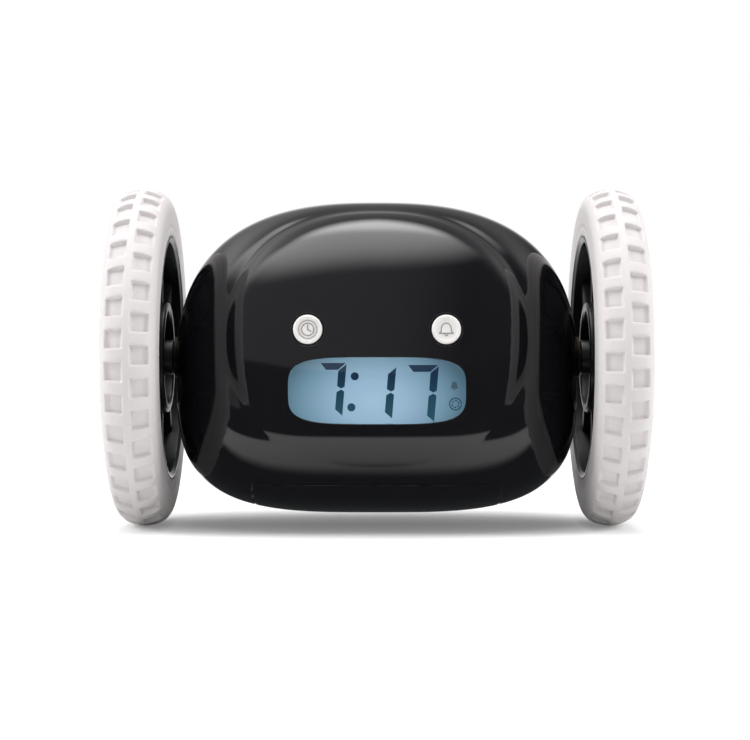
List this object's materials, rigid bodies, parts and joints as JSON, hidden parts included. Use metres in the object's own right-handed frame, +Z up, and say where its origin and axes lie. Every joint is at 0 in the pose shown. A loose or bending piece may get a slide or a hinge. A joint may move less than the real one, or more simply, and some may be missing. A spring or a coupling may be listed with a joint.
{
  "type": "runaway alarm clock",
  "caption": "Digital alarm clock with a rounded body between two large treaded drive wheels, a backlit display and push buttons, that rolls away when it sounds.",
  "frame": {"origin": "on the floor, below the middle of the wheels' axle", "axes": "+X along the axle to the right of someone who faces the clock, -Y the way the display faces, +Z up"},
  "size_m": [0.1362, 0.089, 0.089],
  "materials": {
    "shell_plastic": "high gloss black moulded plastic",
    "lens_plastic": "clear polished plastic",
    "display_glass": "backlit liquid crystal glass",
    "light_guide_plastic": "frosted clear plastic",
    "black_plastic": "matt black plastic",
    "grey_plastic": "matt grey plastic",
    "contact_rubber": "soft conductive rubber",
    "circuit_board": "green lacquered laminate",
    "electronic_parts": "moulded black packages",
    "steel": "plated steel",
    "brass": "machined brass",
    "paper_cone": "pressed paper",
    "cell_sleeve": "printed foil sleeve",
    "lead_sleeve": "soft insulated wire",
    "white_plastic": "satin white plastic",
    "gear_plastic": "natural acetal plastic",
    "tyre_rubber": "soft matt white rubber",
    "wheel_plastic": "gloss black plastic"
  },
  "bodies": {
    "clock_body": {"front_shell": "shell_plastic", "rear_shell": "shell_plastic", "lcd_lens": "lens_plastic", "lcd_frame": "black_plastic", "lcd_glass": "display_glass", "light_guide": "light_guide_plastic", "zebra_strips": "contact_rubber", "main_board": "circuit_board", "board_parts": "electronic_parts", "tact_switches": "electronic_parts", "rear_board": "circuit_board", "snooze_board": "circuit_board", "speaker_basket": "steel", "speaker_cone": "paper_cone", "battery_tray": "grey_plastic", "battery_cells": "cell_sleeve", "battery_contacts": "steel", "motor_left": "steel", "motor_right": "steel", "gear_frame_left": "grey_plastic", "gear_frame_right": "grey_plastic", "axle_bushes": "brass", "cluster_pins": "steel", "shell_screws": "steel", "board_screws": "steel", "frame_screws": "steel", "motor_leads": "lead_sleeve", "battery_leads": "lead_sleeve", "speaker_leads": "lead_sleeve", "board_leads": "lead_sleeve"},
    "battery_door_body": {"battery_door": "shell_plastic", "door_screw": "steel"},
    "time_button_body": {"time_button": "white_plastic", "time_plunger": "white_plastic"},
    "alarm_button_body": {"alarm_button": "white_plastic", "alarm_plunger": "white_plastic"},
    "snooze_button_body": {"snooze_button": "shell_plastic", "snooze_plunger": "white_plastic"},
    "plus_button_body": {"plus_button": "white_plastic", "plus_plunger": "white_plastic"},
    "minus_button_body": {"minus_button": "white_plastic", "minus_plunger": "white_plastic"},
    "wheel_left_body": {"tyre_left": "tyre_rubber", "rim_left": "wheel_plastic", "hub_cap_left": "wheel_plastic", "axle_left": "steel", "output_gear_left": "gear_plastic", "wheel_screw_left": "steel"},
    "cluster_left_body": {"cluster_gear_left": "gear_plastic"},
    "pinion_left_body": {"pinion_left": "brass"},
    "wheel_right_body": {"tyre_right": "tyre_rubber", "rim_right": "wheel_plastic", "hub_cap_right": "wheel_plastic", "axle_right": "steel", "output_gear_right": "gear_plastic", "wheel_screw_right": "steel"},
    "cluster_right_body": {"cluster_gear_right": "gear_plastic"},
    "pinion_right_body": {"pinion_right": "brass"}
  },
  "joints": [
    {"name": "time_press", "type": "slide", "parent": "clock_body", "child": "time_button_body", "axis": [0, 1, 0], "range_m": [0, 0.0008], "stiffness_N_per_m": 500, "springref_m": -0.0006},
    {"name": "alarm_press", "type": "slide", "parent": "clock_body", "child": "alarm_button_body", "axis": [0, 1, 0], "range_m": [0, 0.0008], "stiffness_N_per_m": 500, "springref_m": -0.0006},
    {"name": "snooze_press", "type": "slide", "parent": "clock_body", "child": "snooze_button_body", "axis": [0, 0, -1], "range_m": [0, 0.0008], "stiffness_N_per_m": 500, "springref_m": -0.0006},
    {"name": "plus_press", "type": "slide", "parent": "clock_body", "child": "plus_button_body", "axis": [0, -1, 0], "range_m": [0, 0.0008], "stiffness_N_per_m": 500, "springref_m": -0.0006},
    {"name": "minus_press", "type": "slide", "parent": "clock_body", "child": "minus_button_body", "axis": [0, -1, 0], "range_m": [0, 0.0008], "stiffness_N_per_m": 500, "springref_m": -0.0006},
    {"name": "battery_door_off", "type": "slide", "parent": "clock_body", "child": "battery_door_body", "axis": [0, 0, -1], "range_m": [0, 0.03]},
    {"name": "wheel_left_spin", "type": "hinge", "parent": "clock_body", "child": "wheel_left_body", "pos_m": [-0.05, 0, 0.0445], "axis": [1, 0, 0], "continuous": true},
    {"name": "cluster_left_spin", "type": "hinge", "parent": "clock_body", "child": "cluster_left_body", "pos_m": [-0.04, 0.01401, 0.04075], "axis": [1, 0, 0], "continuous": true},
    {"name": "pinion_left_spin", "type": "hinge", "parent": "clock_body", "child": "pinion_left_body", "pos_m": [-0.038, 0.01006, 0.05366], "axis": [1, 0, 0], "continuous": true},
    {"name": "wheel_right_spin", "type": "hinge", "parent": "clock_body", "child": "wheel_right_body", "pos_m": [0.05, 0, 0.0445], "axis": [1, 0, 0], "continuous": true},
    {"name": "cluster_right_spin", "type": "hinge", "parent": "clock_body", "child": "cluster_right_body", "pos_m": [0.04, 0.01401, 0.04075], "axis": [1, 0, 0], "continuous": true},
    {"name": "pinion_right_spin", "type": "hinge", "parent": "clock_body", "child": "pinion_right_body", "pos_m": [0.038, 0.01006, 0.05366], "axis": [1, 0, 0], "continuous": true}
  ],
  "couplings": [
    {"joint": "cluster_left_spin", "follows": "wheel_left_spin", "ratio": -3.1429},
    {"joint": "pinion_left_spin", "follows": "wheel_left_spin", "ratio": 8.9796},
    {"joint": "cluster_right_spin", "follows": "wheel_right_spin", "ratio": -3.1429},
    {"joint": "pinion_right_spin", "follows": "wheel_right_spin", "ratio": 8.9796}
  ]
}
